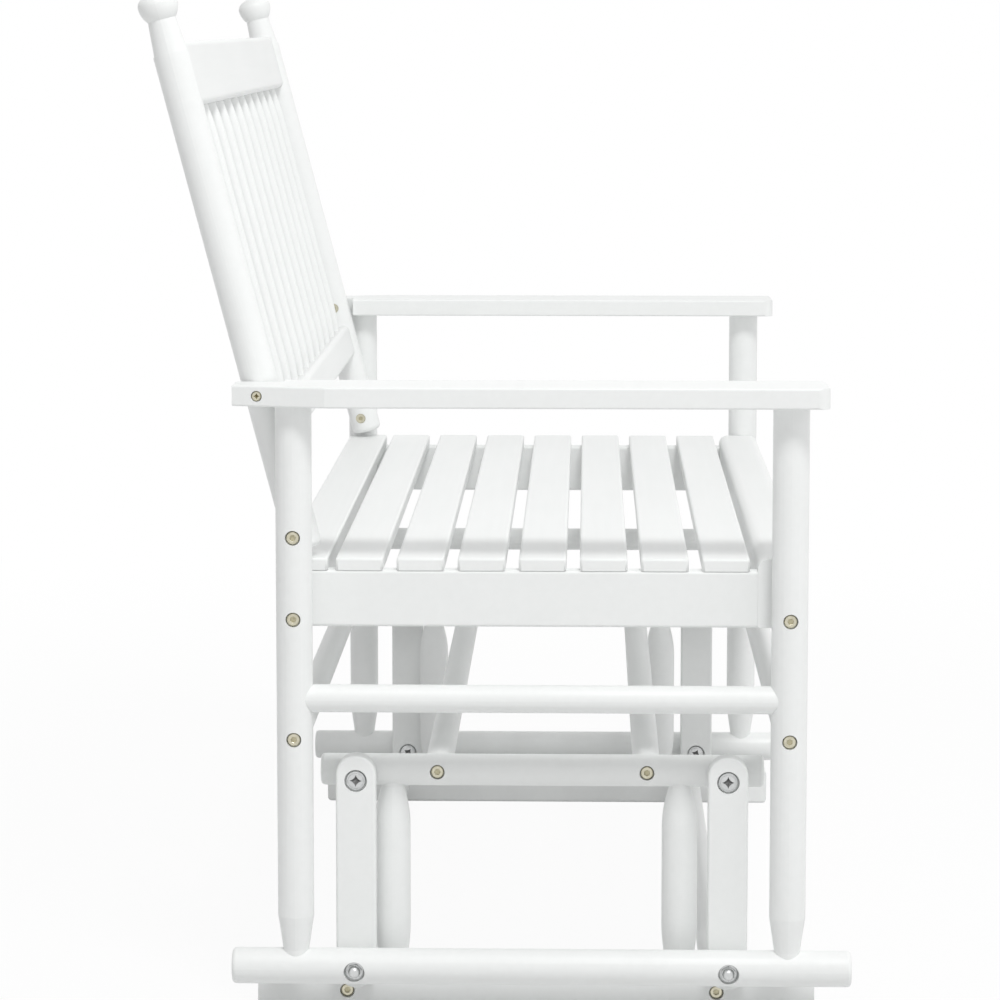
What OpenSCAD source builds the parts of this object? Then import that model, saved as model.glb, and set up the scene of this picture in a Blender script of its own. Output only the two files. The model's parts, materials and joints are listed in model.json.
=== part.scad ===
// Porch glider bench: a seat frame hangs on four flat links from a floor base and swings fore and aft.
// Millimetres. Z is up, the sitter faces -Y, and the sitter's left side is +X.
// The origin is on the floor, under the middle of the bench's outline.
// Pieces are placed by their distance behind the middle of the four seat legs, and all of them
// move by mid_y together, which brings the origin under the middle.

/* [Seat legs and runners] */
// Distance between the axes of the left and right legs
leg_span = 1050; // [800:10:1300]
// Distance between the axes of the front and rear legs
leg_depth = 476; // [450:1:520]
// Diameter of the legs
leg_d = 35; // [32:0.5:40]
// Diameter of the leg's foot, where it enters the runner
leg_foot_d = 25; // [20:0.5:28]
// Height of the cone that leads from the leg to its foot
leg_cone_h = 33.5; // [20:0.5:60]
// Diameter of the runners
runner_d = 35; // [32:0.5:38]
// Length of the runners
runner_len = 600; // [560:1:640]
// Height of the runner's axis above the floor
runner_z = 57; // [50:1:80]

/* [Stretchers] */
// Diameter of the side stretchers
side_stretcher_d = 27; // [20:0.5:29]
// Height of the side stretchers above the cross stretchers
side_stretcher_up = 38; // [34:1:60]
// Diameter of the cross stretchers
cross_stretcher_d = 26; // [20:0.5:28]
// Height of the cross stretchers above the top pivots
cross_stretcher_up = 47.5; // [44:0.5:60]

/* [Seat] */
// Height of the seat above the floor
seat_h = 455; // [430:1:480]
// Thickness of the slats
slat_t = 12; // [10:0.5:16]
// Width of the slats
slat_w = 46; // [36:0.5:50]
// Gap beside the first and the last slat of the row
slat_end_gap = 7.5; // [4:0.5:12]
// Thickness of the seat side rails
seat_rail_t = 20; // [18:0.5:25]
// Height of the seat rails
seat_rail_h = 55; // [45:1:65]
// Length of the side rails behind the rear legs' axes
seat_rail_over = 12; // [8:1:20]
// Depth of the front apron, front to back
apron_w = 47; // [40:0.5:55]
// Length of the apron ahead of the front legs' axes
apron_over = 17; // [14:0.5:24]
// Thickness of the rear rail
rear_rail_t = 22; // [18:0.5:28]
// Distance of the rear slat's middle ahead of the rear legs' axes
rear_slat_set = 8; // [4:0.5:14]

/* [Armrests] */
// Height of the armrest's top above the seat
arm_up = 171; // [150:1:200]
// Thickness of the armrests
arm_t = 20; // [18:0.5:25]
// Width of the armrests
arm_w = 75; // [65:1:90]
// Length of the armrest ahead of the front leg's axis
arm_front = 35; // [28:1:45]
// Length of the armrest behind the rear leg's axis
arm_rear = 57; // [48:1:70]
// Width of the armrest outside the leg's axis
arm_out = 38; // [32:1:50]
// Length of the tapered stretch at the rear of the armrest
arm_taper_len = 90; // [60:1:120]
// How far the outer edge comes in over the tapered stretch
arm_taper = 20; // [10:0.5:22]

/* [Back] */
// Angle by which the back leans from the vertical
lean = 14.7; // [10:0.1:20]
// Diameter of the back posts
post_d = 35; // [32:0.5:38]
// Height of the post's lower bolt above the seat
post_bolt_up = 24; // [22:0.5:30]
// Distance of the post's axis ahead of the rear leg's axis, at the lower bolt
post_set = 3; // [0:0.5:6]
// Gap between the post's foot and the slat under it
post_foot_gap = 3.9; // [1:0.1:6]
// Length of the post from the lower bolt to its shoulder
post_len = 476; // [460:1:520]
// Length of the neck above the shoulder
neck_len = 33; // [26:0.5:40]
// Diameter of the neck at the shoulder
neck_low_d = 33; // [30:0.5:34]
// Diameter of the neck under the finial
neck_top_d = 27.5; // [24:0.5:30]
// Diameter of the bun finial
bun_d = 39; // [36:0.5:44]
// Height of the finial's round below its widest place, carried on to the post's axis
bun_low = 22; // [18:0.5:26]
// Height of the finial above its widest place
bun_top = 12; // [8:0.5:20]
// Height of the crest rail
crest_h = 64; // [50:1:80]
// Height of the crest rail's top above the posts' shoulders
crest_over = 10; // [4:1:16]
// Height of the back's bottom rail
back_rail_h = 38; // [30:1:50]
// Distance from the bottom rail's top up to the armrest's screw, along the post
back_rail_set = 24.5; // [16:0.5:40]
// Thickness of the crest rail and the bottom rail
back_rail_t = 22; // [18:0.5:26]
// Number of back spindles
back_spindle_count = 12; // [8:1:14]
// Diameter of the back spindles
back_spindle_d = 14; // [12:0.5:17]
// Diameter of a back spindle's end
back_spindle_end_d = 8.5; // [7:0.5:11]
// Length of the taper at each end of a back spindle
back_spindle_taper = 36; // [20:1:60]

/* [Links and pivots] */
// Distance between a link's two pivots
link_c = 181; // [165:1:200]
// Distance between the front and rear pivots
pivot_depth = 362; // [350:1:370]
// Width of the links
link_w = 39; // [34:0.5:44]
// Distance from a pivot to the end of the link past it
link_over = 25; // [22.5:0.5:28]
// How far the bottom pivots sit below the runners' axes
runner_pivot_down = 2.5; // [0:0.5:3]
// How far the top pivots sit below the base rails' axes
rail_pivot_down = 4; // [0:0.5:4.5]
// Thickness of the links
link_t = 20; // [18:0.5:25]
// Space between the links and the legs
link_clear = 1.5; // [1:0.1:3]
// Depth of the recess for the pivot bolt's head
link_sink = 6; // [5.5:0.1:8]
// Diameter of the pivot bolts
pivot_d = 8; // [6:0.5:10]
// Diameter of the pivot bolt's head
pivot_head_d = 19; // [15:0.5:20]
// Thickness of the pivot bolt's head
pivot_head_h = 5; // [3:0.1:5.2]

/* [Base] */
// Space between the links and the base spindles
base_clear = 0.5; // [0.4:0.1:2]
// Space between the links and the floor beams
beam_clear = 1; // [0.5:0.1:3]
// Length of the floor beams
beam_len = 547; // [520:1:600]
// Width of the floor beams
beam_w = 34; // [28:0.5:40]
// Height of the floor beams
beam_h = 42; // [36:1:48]
// How far the floor beams and base spindles sit behind the middle of the pivots
base_set = 6; // [0:0.5:10]
// Diameter of the base rails
base_rail_d = 31; // [28:0.5:34]
// Length of the base rails past each pivot
base_rail_over = 36; // [24:1:50]
// Diameter of the base spindles
base_spindle_d = 35; // [30:0.5:38]
// Distance of the base spindles inside of the pivots
base_spindle_in = 40; // [34:1:50]
// Diameter of the base spindle's neck under the rail
base_neck_d = 21; // [18:0.5:24]
// Length of the round taper under the base rail
base_neck_len = 40; // [25:1:60]
// Diameter of the base spindle where it meets the floor beam
base_foot_d = 24; // [23:0.5:30]
// Length of the round taper above the floor beam
base_foot_len = 46; // [20:1:60]
// Diameter of the base's cross dowels
base_cross_d = 27; // [22:0.5:29]
// Distance of the front lower cross dowel from the beam's front end
cross_front_in = 96; // [80:1:110]
// Distance of the rear lower cross dowel from the beam's rear end
cross_rear_in = 88; // [80:1:110]
// Distance of the upper cross dowels inside of the base spindles
cross_upper_in = 38.5; // [34:0.5:60]

/* [Wood bolts] */
// Diameter of the wood bolts
bolt_d = 6; // [5:0.5:8]
// Diameter of the wood bolt's head
bolt_head_d = 12.5; // [11:0.5:13.5]
// Thickness of the wood bolt's head
bolt_head_h = 5; // [3:0.1:6]
// Diameter of the hole that the wood bolt's head sits in
bolt_sink_d = 14.5; // [14:0.5:16]
// How far the wood bolt's head lies below the wood
bolt_sink = 2.5; // [1:0.1:4]
// Diameter of the armrest screw's head
screw_head_d = 9.5; // [8.5:0.5:10]
// Diameter of the hole that the armrest screw's head sits in
screw_sink_d = 10.5; // [10.5:0.5:12]
// Length of the bolts that hold the stretchers and dowels
bolt_len = 60; // [50:1:80]
// Wood left past the tips of the bolts in the side rails
rail_bolt_cover = 4; // [2:0.5:8]

/* [Fits] */
// Radial clearance of the pivot bolts in the links
pivot_fit = 0.08; // [0.04:0.01:0.1]
// Gap beside each washer and under each pivot head
washer_play = 0.25; // [0.2:0.01:0.3]
// Gap round a glued joint
glue_gap = 0.1; // [0.05:0.01:0.2]
// Gap where a piece lies against a round leg or post
seat_gap = 0.3; // [0.2:0.01:0.4]
// Radial clearance of the wood bolts
bolt_fit = 0.05; // [0.03:0.01:0.1]

/* [Hidden] */
$fn = 64;

white_paint = [0.93, 0.94, 0.94];
brass = [0.80, 0.62, 0.30];
zinc = [0.72, 0.73, 0.74];
nylon = [0.88, 0.88, 0.86];

LEFT = 1;
RIGHT = -1;
FRONT = -1;
REAR = 1;
cut_over = 5;

// Depths of the joints in the wood
socket_depth = 10;
tenon_depth = 14;
tenon_d = 22;
dowel_socket = 8;
spindle_socket = 10;
housing_depth = 10;

// Rounding of the edges
rod_round = 4;
bar_round = 3;
beam_round = 4;
beam_end_round = 6;
apron_top_round = 10;
arm_round = 2;
arm_end_round = 1.5;
arm_corner = 12;
back_rail_round = 6;
link_round = 2.5;
post_foot_round = 6;
round_steps = 8;

// Sockets, flats and nuts of the fasteners
flat_depth = 2.5;
flat_spare = 2;
head_spare = 1.5;
hex_key = 6;
hex_key_depth = 3;
nut_hex_h = 5;
nut_sink = 9.5;
nut_hex_d = pivot_d * 1.85;
nut_dome_d = pivot_d * 1.5;
nut_flange_d = pivot_d * 2.3;
nut_flange_t = 2;
nut_spare = 1;
washer_d = pivot_d + 10;
sleeve_d = bolt_d + 3;
sleeve_len = 16;
sleeve_cap_d = bolt_d + 6;
sleeve_cap_t = 2;
sleeve_sink = 1.5;
sleeve_grip = 8;
cross_slot_t = 1.4;
head_dome_r = 2 * pivot_head_d;
cross_slot_depth = 2;
arm_screw_sink = 1.5;
rail_bolt_up = 12;
notch_gap = 2;

// Heights
low_pivot_z = runner_z - runner_pivot_down;
pivot_z = low_pivot_z + link_c;
base_rail_z = pivot_z + rail_pivot_down;
link_past = link_over - link_w / 2;
cross_stretcher_z = pivot_z + cross_stretcher_up;
side_stretcher_z = cross_stretcher_z + side_stretcher_up;
seat_rail_top = seat_h - slat_t;
seat_rail_low = seat_rail_top - seat_rail_h;
rail_bolt_z = seat_rail_low + rail_bolt_up;
post_bolt_z = seat_h + post_bolt_up;
arm_h = seat_h + arm_up;
arm_low = arm_h - arm_t;
arm_mid = arm_h - arm_t / 2;

// Places across the bench, on the left side
leg_x = leg_span / 2;
leg_in_x = leg_x - leg_d / 2;
leg_out_x = leg_x + leg_d / 2;
runner_flat_x = leg_x - runner_d / 2 + flat_depth;
link_out_x = leg_x - max(leg_d, runner_d) / 2 - link_clear;
link_in_x = link_out_x - link_t;
base_x = link_in_x - base_clear - max(base_spindle_d, base_rail_d) / 2;
base_flat = base_rail_d / 2 - flat_depth;
beam_out_x = link_in_x - beam_clear;
beam_x = beam_out_x - beam_w / 2;
seat_out_x = leg_in_x - seat_gap;
seat_in_x = seat_out_x - seat_rail_t;
post_x = leg_in_x - seat_gap - post_d / 2;
arm_out_x = leg_x + arm_out;
arm_in_x = arm_out_x - arm_w;
post_tip_x = post_x - post_d / 2 + sleeve_grip;

// Places front to back, counted from the middle of the legs
leg_y = leg_depth / 2;
pivot_y = pivot_depth / 2;
apron_front = -leg_y - apron_over;
apron_rear = apron_front + apron_w;
seat_rail_rear = leg_y + seat_rail_over;
rear_slat_y = leg_y - rear_slat_set;
slat_row_front = apron_rear + slat_end_gap + slat_w / 2;
slat_row_rear = rear_slat_y - slat_w - slat_end_gap;
slat_row_count = 7;
slat_pitch = (slat_row_rear - slat_row_front) / (slat_row_count - 1);
arm_front_y = -leg_y - arm_front;
arm_rear_y = leg_y + arm_rear;
arm_len = arm_rear_y - arm_front_y;
post_y = leg_y - post_set;
arm_screw_y = post_y + (arm_mid - post_bolt_z) * tan(lean);
arm_screw_edge_x = arm_out_x - arm_taper * (arm_screw_y - arm_rear_y + arm_taper_len) / arm_taper_len;
notch_y = post_y + (arm_low - post_bolt_z) * tan(lean) - post_d / 2 / cos(lean) - notch_gap;
beam_front = base_set - beam_len / 2;
beam_rear = base_set + beam_len / 2;
base_rail_len = pivot_depth + 2 * base_rail_over;
base_spindle_depth = pivot_depth - 2 * base_spindle_in;
cross_upper_y = base_spindle_depth / 2 - cross_upper_in;
cross_front_y = beam_front + cross_front_in;
cross_rear_y = beam_rear - cross_rear_in;

// Heights along the leaning back, counted from the lower bolt
crest_top = post_len + crest_over;
crest_low = crest_top - crest_h;
arm_screw_s = (arm_mid - post_bolt_z) / cos(lean);
back_rail_top = arm_screw_s - back_rail_set;
post_foot_drop = post_bolt_up - post_foot_gap - post_foot_round - (post_d / 2 - post_foot_round) * sin(lean);
post_tail = post_foot_round + post_foot_drop / cos(lean);
bun_start = acos(neck_top_d / bun_d);
bun_s = post_len + neck_len + bun_low * sin(bun_start);

// A point that runs along a round taper, from 0 at its thick end to 1 at its thin end
function bulge(thick, thin, t) = thin + (thick - thin) * (1 - t * t);

// Half outline of a back post with its neck and bun, radius and height
function post_outline() = concat(
    [[0, -post_tail]],
    [for (i = [0:round_steps])
        let (a = -90 + 90 * i / round_steps)
        [post_d / 2 - post_foot_round + post_foot_round * cos(a),
            post_foot_round - post_tail + post_foot_round * sin(a)]],
    [[post_d / 2, post_len], [neck_low_d / 2, post_len], [neck_top_d / 2, post_len + neck_len]],
    bun_outline()
);

// Half outline of the bun, from the neck over the widest place to the top
function bun_outline() = concat(
    [for (i = [1:round_steps])
        let (a = -bun_start * (1 - i / round_steps))
        [bun_d / 2 * cos(a), bun_s + bun_low * sin(a)]],
    [for (i = [1:round_steps])
        let (a = 90 * i / round_steps)
        [bun_d / 2 * cos(a), bun_s + bun_top * sin(a)]]
);

// The outline's reach to the rear and to the front, and the shift that centres it
rear_reach = post_y + max([for (p = bun_outline()) p[1] * sin(lean) + p[0] * cos(lean)]);
front_reach = max(runner_len / 2, -arm_front_y);
mid_y = (front_reach - rear_reach) / 2;

// Shared shapes

// Moves a piece from the legs' middle to its place over the origin
module placed()
{
    translate([0, mid_y, 0]) children();
}

// Mirrors a left piece to the right side
module on_side(side)
{
    if (side == LEFT) children();
    else mirror([1, 0, 0]) children();
}

// The leaning frame of the back, with its origin on the posts' axes at the lower bolts
module leaning()
{
    translate([0, post_y, post_bolt_z]) rotate([-lean, 0, 0]) children();
}

// Rectangle with round corners, about its middle
module soft_rect(w, h, r)
{
    square([w - 2 * r, h], center = true);
    square([w, h - 2 * r], center = true);
    for (x = [-1, 1], y = [-1, 1])
        translate([x * (w / 2 - r), y * (h / 2 - r)]) circle(r);
}

// Bar along X with its long edges rounded
module bar_x(len, w, h, r)
{
    rotate([90, 0, 90]) linear_extrude(len, center = true) soft_rect(w, h, r);
}

// Bar along Y with its long edges rounded
module bar_y(len, w, h, r)
{
    rotate([90, 0, 0]) linear_extrude(len, center = true) soft_rect(w, h, r);
}

// Round rod about its middle, along Z, with rounded ends
module rod(d, len, r)
{
    rotate_extrude() intersection() {
        soft_rect(d, len, r);
        translate([0, -len / 2]) square([d, len]);
    }
}

// Cylinder along X from one place to another
module pin_x(d, from_x, to_x)
{
    translate([min(from_x, to_x), 0, 0]) rotate([0, 90, 0]) cylinder(d = d, h = abs(to_x - from_x));
}

// Cylinder along Y from one place to another
module pin_y(d, from_y, to_y)
{
    translate([0, max(from_y, to_y), 0]) rotate([90, 0, 0]) cylinder(d = d, h = abs(to_y - from_y));
}

// Hexagonal prism along X from one place to another
module hex_x(d, from_x, to_x)
{
    translate([min(from_x, to_x), 0, 0]) rotate([0, 90, 0]) cylinder(d = d, h = abs(to_x - from_x), $fn = 6);
}

// Bolt with a flat round head along X: the head lies outside floor_x and the shank runs inward
module plain_bolt(floor_x, len, head_d)
{
    pin_x(bolt_d, floor_x - len, floor_x + 1);
    pin_x(head_d, floor_x, floor_x + bolt_head_h);
}

// Wood bolt for a hexagonal key
module wood_bolt(floor_x, len)
{
    difference() {
        plain_bolt(floor_x, len, bolt_head_d);
        hex_x(hex_key, floor_x + bolt_head_h - hex_key_depth, floor_x + bolt_head_h + cut_over);
    }
}

// Armrest screw for a cross-head screwdriver
module cross_bolt(floor_x, len)
{
    difference() {
        plain_bolt(floor_x, len, screw_head_d);
        for (turn = [0, 90])
            translate([floor_x + bolt_head_h, 0, 0]) rotate([turn, 0, 0])
                cube([2 * cross_slot_depth, screw_head_d / 2, cross_slot_t], center = true);
    }
}

// The way that a bolt or screw needs through the wood, open to the outside
module wood_bolt_way(floor_x, len, sink_d)
{
    pin_x(bolt_d + 2 * bolt_fit, floor_x - len - 1, floor_x + 1);
    pin_x(sink_d, floor_x, floor_x + 4 * sink_d);
}

// Pivot bolt along X: its head lies past head_x, away from tip_x
module pivot_bolt(head_x, tip_x)
{
    out = head_x > tip_x ? 1 : -1;
    difference() {
        union() {
            pin_x(pivot_d, tip_x, head_x + out);
            translate([head_x, 0, 0]) rotate([0, out * 90, 0]) rotate_extrude() pivot_head_outline();
        }
        for (turn = [0, 90])
            translate([head_x + out * pivot_head_h, 0, 0]) rotate([turn, 0, 0])
                cube([2 * cross_slot_depth, pivot_head_d / 2, cross_slot_t], center = true);
    }
}

// Half outline of the low round head
module pivot_head_outline()
{
    intersection() {
        square([pivot_head_d / 2, pivot_head_h]);
        translate([0, pivot_head_h - head_dome_r]) circle(head_dome_r, $fn = 256);
    }
}

// Flanged cap nut along X, seated at seat_x and closed on its outer side
module cap_nut(seat_x, out)
{
    dome_x = seat_x + out * nut_hex_h;
    difference() {
        union() {
            pin_x(nut_flange_d, seat_x, seat_x + out * nut_flange_t);
            hex_x(nut_hex_d, seat_x, dome_x);
            intersection() {
                translate([dome_x, 0, 0]) sphere(d = nut_dome_d);
                pin_x(nut_hex_d, dome_x, dome_x + out * nut_dome_d);
            }
        }
        pin_x(pivot_d + 2 * bolt_fit, seat_x - out, seat_x + out * (nut_hex_h + 1));
    }
}

// Sleeve nut in a back post, seen from the inner side
module sleeve_nut()
{
    cap_x = post_x - post_d / 2 + sleeve_sink;
    difference() {
        union() {
            pin_x(sleeve_cap_d, cap_x, cap_x + sleeve_cap_t);
            pin_x(sleeve_d, cap_x + 1, cap_x + sleeve_len);
        }
        pin_x(bolt_d + 2 * bolt_fit, cap_x + sleeve_cap_t + 1, cap_x + sleeve_len + 1);
    }
}

// The way that a sleeve nut needs in a back post
module sleeve_nut_way()
{
    cap_x = post_x - post_d / 2 + sleeve_sink;
    pin_x(sleeve_d + 2 * bolt_fit, cap_x, cap_x + sleeve_len + bolt_fit);
    pin_x(sleeve_cap_d + 2 * bolt_fit, cap_x - post_d, cap_x + sleeve_cap_t + bolt_fit);
}

// Where the bolts sit

leg_bolt_floor = leg_out_x - bolt_sink - bolt_head_h;
arm_screw_floor = arm_screw_edge_x - arm_screw_sink - bolt_head_h;
rail_bolt_len = leg_bolt_floor - seat_in_x - rail_bolt_cover;

// Wood bolts of one side's legs: distance from the legs' middle, height and length
leg_bolt_list = [
    [-leg_y, cross_stretcher_z, bolt_len],
    [leg_y, cross_stretcher_z, bolt_len],
    [-leg_y, rail_bolt_z, rail_bolt_len],
    [leg_y, rail_bolt_z, rail_bolt_len],
    [leg_y, post_bolt_z, leg_bolt_floor - post_tip_x]
];

// Wood bolts of one side's base: distance from the legs' middle, height and outer face
base_bolt_list = [
    [cross_front_y, beam_h / 2, beam_out_x],
    [cross_rear_y, beam_h / 2, beam_out_x],
    [-cross_upper_y, base_rail_z, base_x + base_rail_d / 2],
    [cross_upper_y, base_rail_z, base_x + base_rail_d / 2]
];

// The way of every leg bolt of one side
module leg_bolt_ways()
{
    for (b = leg_bolt_list)
        translate([0, b[0], b[1]]) wood_bolt_way(leg_bolt_floor, b[2], bolt_sink_d);
}

// The way of every base bolt of one side
module base_bolt_ways()
{
    for (b = base_bolt_list)
        translate([0, b[0], b[1]]) wood_bolt_way(b[2] - bolt_sink - bolt_head_h, bolt_len, bolt_sink_d);
}

// The way of the armrest's screw on one side
module arm_screw_way()
{
    translate([0, arm_screw_y, arm_mid])
        wood_bolt_way(arm_screw_floor, arm_screw_floor - post_tip_x, screw_sink_d);
}

// Places children at the two top or bottom pivots of one side
module at_pivots(z)
{
    for (end = [FRONT, REAR])
        translate([0, end * pivot_y, z]) children();
}

// The base

module base_beam(side)
{
    color(white_paint) placed() on_side(side) difference() {
        translate([beam_x, base_set, beam_h / 2]) intersection() {
            bar_y(beam_len, beam_w, beam_h, beam_round);
            bar_x(beam_w, beam_len, beam_h, beam_end_round);
        }
        for (end = [FRONT, REAR])
            translate([base_x, base_set + end * base_spindle_depth / 2, beam_h - tenon_depth - glue_gap])
                cylinder(d = tenon_d + 2 * glue_gap, h = tenon_depth + cut_over);
        for (y = [cross_front_y, cross_rear_y])
            translate([0, y, beam_h / 2])
                pin_x(base_cross_d + 2 * glue_gap, 0, beam_x - beam_w / 2 + dowel_socket + glue_gap);
        base_bolt_ways();
    }
}

module base_rail(side)
{
    color(white_paint) placed() on_side(side) difference() {
        translate([base_x, 0, base_rail_z]) rotate([90, 0, 0]) rod(base_rail_d, base_rail_len, rod_round);
        at_pivots(pivot_z) {
            pin_x(pivot_d + 2 * bolt_fit, base_x - base_rail_d, base_x + base_rail_d);
            pin_x(washer_d + flat_spare, base_x + base_flat, base_x + base_rail_d);
            pin_x(nut_flange_d + flat_spare, base_x - base_rail_d, base_x - base_flat);
        }
        for (end = [FRONT, REAR])
            translate([base_x, base_set + end * base_spindle_depth / 2, 0])
                cylinder(d = base_neck_d + 2 * glue_gap, h = base_rail_z + glue_gap);
        base_bolt_ways();
    }
}

module base_spindle(side, end)
{
    neck_z = base_rail_z - base_rail_d / 2;
    color(white_paint) placed() on_side(side)
        translate([base_x, base_set + end * base_spindle_depth / 2, 0]) rotate_extrude() polygon(concat(
            [[0, beam_h - tenon_depth], [tenon_d / 2, beam_h - tenon_depth], [tenon_d / 2, beam_h + glue_gap]],
            [for (i = [round_steps:-1:0])
                let (t = i / round_steps)
                [bulge(base_spindle_d, base_foot_d, t) / 2, beam_h + glue_gap + base_foot_len * (1 - t)]],
            [for (i = [0:round_steps])
                let (t = i / round_steps)
                [bulge(base_spindle_d, base_neck_d, t) / 2, neck_z - base_neck_len * (1 - t)]],
            [[base_neck_d / 2, base_rail_z], [0, base_rail_z]]
        ));
}

module base_cross_lower(y)
{
    end_x = beam_x - beam_w / 2 + dowel_socket;
    color(white_paint) placed() difference() {
        translate([0, y, beam_h / 2]) pin_x(base_cross_d, -end_x, end_x);
        for (side = [LEFT, RIGHT])
            on_side(side) base_bolt_ways();
    }
}

// The dowel's ends are cut hollow, to lie round the base rails
module base_cross_upper(end)
{
    color(white_paint) placed() difference() {
        translate([0, end * cross_upper_y, base_rail_z]) pin_x(base_cross_d, -base_x, base_x);
        for (side = [LEFT, RIGHT])
            on_side(side) {
                translate([base_x, 0, base_rail_z])
                    pin_y(base_rail_d + 2 * glue_gap, -base_rail_len, base_rail_len);
                base_bolt_ways();
            }
    }
}

module base_bolts()
{
    color(brass) placed()
        for (side = [LEFT, RIGHT], b = base_bolt_list)
            on_side(side) translate([0, b[0], b[1]]) wood_bolt(b[2] - bolt_sink - bolt_head_h, bolt_len);
}

// The pivots

module top_pivot_bolts()
{
    color(zinc) placed()
        for (side = [LEFT, RIGHT])
            on_side(side) at_pivots(pivot_z)
                pivot_bolt(link_out_x - link_sink + washer_play, base_x - base_flat - nut_hex_h);
}

module top_pivot_nuts()
{
    color(zinc) placed()
        for (side = [LEFT, RIGHT])
            on_side(side) at_pivots(pivot_z) cap_nut(base_x - base_flat, -1);
}

module top_pivot_washers()
{
    color(nylon) placed()
        for (side = [LEFT, RIGHT])
            on_side(side) at_pivots(pivot_z) difference() {
                pin_x(washer_d, base_x + base_flat + washer_play, link_in_x - washer_play);
                pin_x(pivot_d + 2 * bolt_fit, base_x, link_out_x);
            }
}

module link(side, end)
{
    color(white_paint) placed() on_side(side) translate([0, end * pivot_y, 0]) difference() {
        union() {
            translate([link_in_x + link_t / 2, 0, low_pivot_z + link_c / 2])
                linear_extrude(link_c + 2 * link_past, center = true) soft_rect(link_t, link_w, link_round);
            for (z = [low_pivot_z - link_past, pivot_z + link_past])
                translate([link_in_x + link_t / 2, 0, z]) rotate([0, 90, 0]) rod(link_w, link_t, link_round);
        }
        for (z = [low_pivot_z, pivot_z])
            translate([0, 0, z]) pin_x(pivot_d + 2 * pivot_fit, link_in_x - 1, link_out_x + 1);
        translate([0, 0, pivot_z])
            pin_x(pivot_head_d + 2 * head_spare, link_out_x - link_sink, link_out_x + 1);
        translate([0, 0, low_pivot_z])
            pin_x(pivot_head_d + 2 * head_spare, link_in_x - 1, link_in_x + link_sink);
    }
}

module bottom_pivot_bolts()
{
    color(zinc) placed()
        for (side = [LEFT, RIGHT])
            on_side(side) at_pivots(low_pivot_z)
                pivot_bolt(link_in_x + link_sink - washer_play, leg_x + runner_d / 2 - nut_sink + nut_hex_h);
}

module bottom_pivot_nuts()
{
    color(zinc) placed()
        for (side = [LEFT, RIGHT])
            on_side(side) at_pivots(low_pivot_z) cap_nut(leg_x + runner_d / 2 - nut_sink, 1);
}

module bottom_pivot_washers()
{
    color(nylon) placed()
        for (side = [LEFT, RIGHT])
            on_side(side) at_pivots(low_pivot_z) difference() {
                pin_x(washer_d, link_out_x + washer_play, runner_flat_x - washer_play);
                pin_x(pivot_d + 2 * bolt_fit, link_in_x, leg_x);
            }
}

// The seat frame

module runner(side)
{
    nut_floor = leg_x + runner_d / 2 - nut_sink;
    color(white_paint) placed() on_side(side) difference() {
        translate([leg_x, 0, runner_z]) rotate([90, 0, 0]) rod(runner_d, runner_len, rod_round);
        for (end = [FRONT, REAR])
            translate([leg_x, end * leg_y, runner_z - glue_gap])
                cylinder(d = leg_foot_d + 2 * glue_gap, h = runner_d);
        at_pivots(low_pivot_z) {
            pin_x(pivot_d + 2 * bolt_fit, leg_x - runner_d, leg_x + runner_d);
            pin_x(washer_d + flat_spare, leg_x - runner_d, runner_flat_x);
            pin_x(nut_flange_d + 2 * nut_spare, nut_floor, leg_x + runner_d);
        }
    }
}

module leg(side, end)
{
    cone_z = runner_z + runner_d / 2;
    color(white_paint) placed() on_side(side) difference() {
        translate([leg_x, end * leg_y, 0]) rotate_extrude() polygon([
            [0, runner_z], [leg_foot_d / 2, runner_z], [leg_foot_d / 2, cone_z],
            [leg_d / 2, cone_z + leg_cone_h], [leg_d / 2, arm_low - glue_gap],
            [tenon_d / 2, arm_low - glue_gap], [tenon_d / 2, arm_low + tenon_depth], [0, arm_low + tenon_depth]
        ]);
        translate([leg_x, 0, side_stretcher_z])
            pin_y(side_stretcher_d + 2 * glue_gap, 0, end * (leg_y - leg_d / 2 + socket_depth + glue_gap));
        translate([0, end * leg_y, cross_stretcher_z])
            pin_x(cross_stretcher_d + 2 * glue_gap, 0, leg_in_x + socket_depth + glue_gap);
        leg_bolt_ways();
    }
}

module side_stretcher(side)
{
    end_y = leg_y - leg_d / 2 + socket_depth;
    color(white_paint) placed() on_side(side)
        translate([leg_x, 0, side_stretcher_z]) pin_y(side_stretcher_d, -end_y, end_y);
}

module cross_stretcher(end)
{
    end_x = leg_in_x + socket_depth;
    color(white_paint) placed() difference() {
        translate([0, end * leg_y, cross_stretcher_z]) pin_x(cross_stretcher_d, -end_x, end_x);
        for (side = [LEFT, RIGHT])
            on_side(side) leg_bolt_ways();
    }
}

module seat_rail(side)
{
    rail_front = apron_rear + glue_gap;
    rail_len = seat_rail_rear - rail_front;
    color(white_paint) placed() on_side(side) difference() {
        translate([seat_out_x - seat_rail_t / 2, rail_front + rail_len / 2, seat_rail_low + seat_rail_h / 2])
            bar_y(rail_len, seat_rail_t, seat_rail_h, bar_round);
        leg_bolt_ways();
    }
}

module front_apron()
{
    color(white_paint) placed() difference() {
        rotate([90, 0, 90]) linear_extrude(2 * seat_out_x, center = true) {
            translate([apron_front + apron_w / 2, seat_rail_low + seat_rail_h / 2])
                soft_rect(apron_w, seat_rail_h, bar_round);
            translate([apron_front + apron_w / 2, seat_h - seat_rail_h / 2])
                soft_rect(apron_w, seat_rail_h, apron_top_round);
        }
        for (side = [LEFT, RIGHT])
            on_side(side) leg_bolt_ways();
    }
}

module rear_rail()
{
    color(white_paint) placed()
        translate([0, rear_slat_y, seat_rail_low + seat_rail_h / 2])
            bar_x(2 * (seat_in_x - glue_gap), rear_rail_t, seat_rail_h, bar_round);
}

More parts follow.
